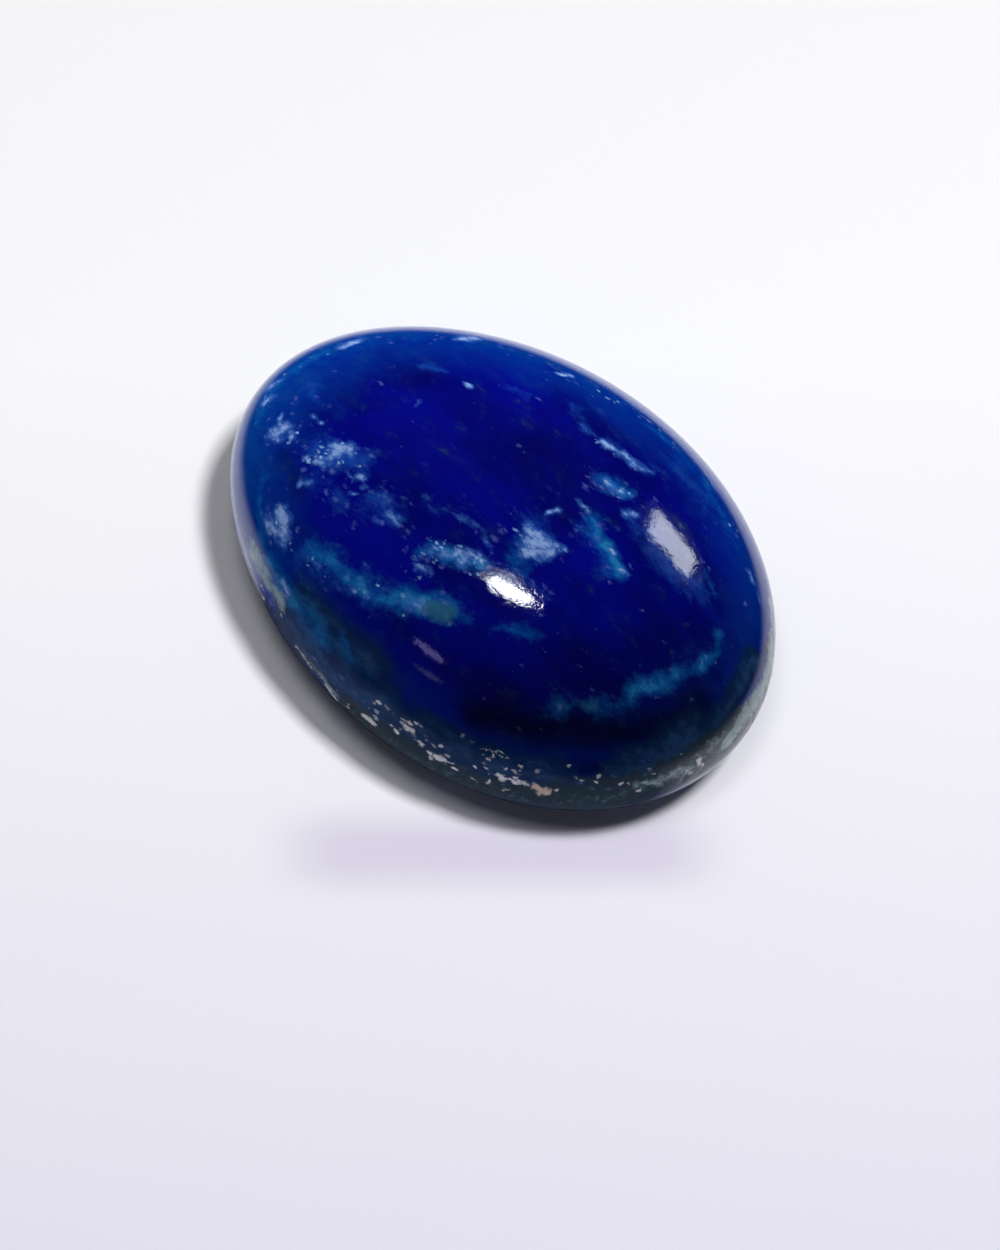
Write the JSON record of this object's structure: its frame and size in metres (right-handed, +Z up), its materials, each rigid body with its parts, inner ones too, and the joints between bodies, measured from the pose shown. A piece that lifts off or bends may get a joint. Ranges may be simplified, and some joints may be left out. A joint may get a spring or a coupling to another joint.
{
  "type": "polished lapis lazuli oval cabochon",
  "caption": "Oval domed polished stone with a rounded girdle and a gently rounded back, which rests on a small flat spot.",
  "frame": {"origin": "centre of the small flat spot that the stone rests on, under the middle of the oval", "axes": "+X along the oval's long axis towards its broader end, +Y across the oval, +Z up through the dome"},
  "size_m": [0.018, 0.0128, 0.0068],
  "materials": {
    "polished_lapis": "polished, with calcite and pyrite flecks"
  },
  "bodies": {
    "root": {"lapis_cabochon": "polished_lapis"}
  },
  "joints": []
}
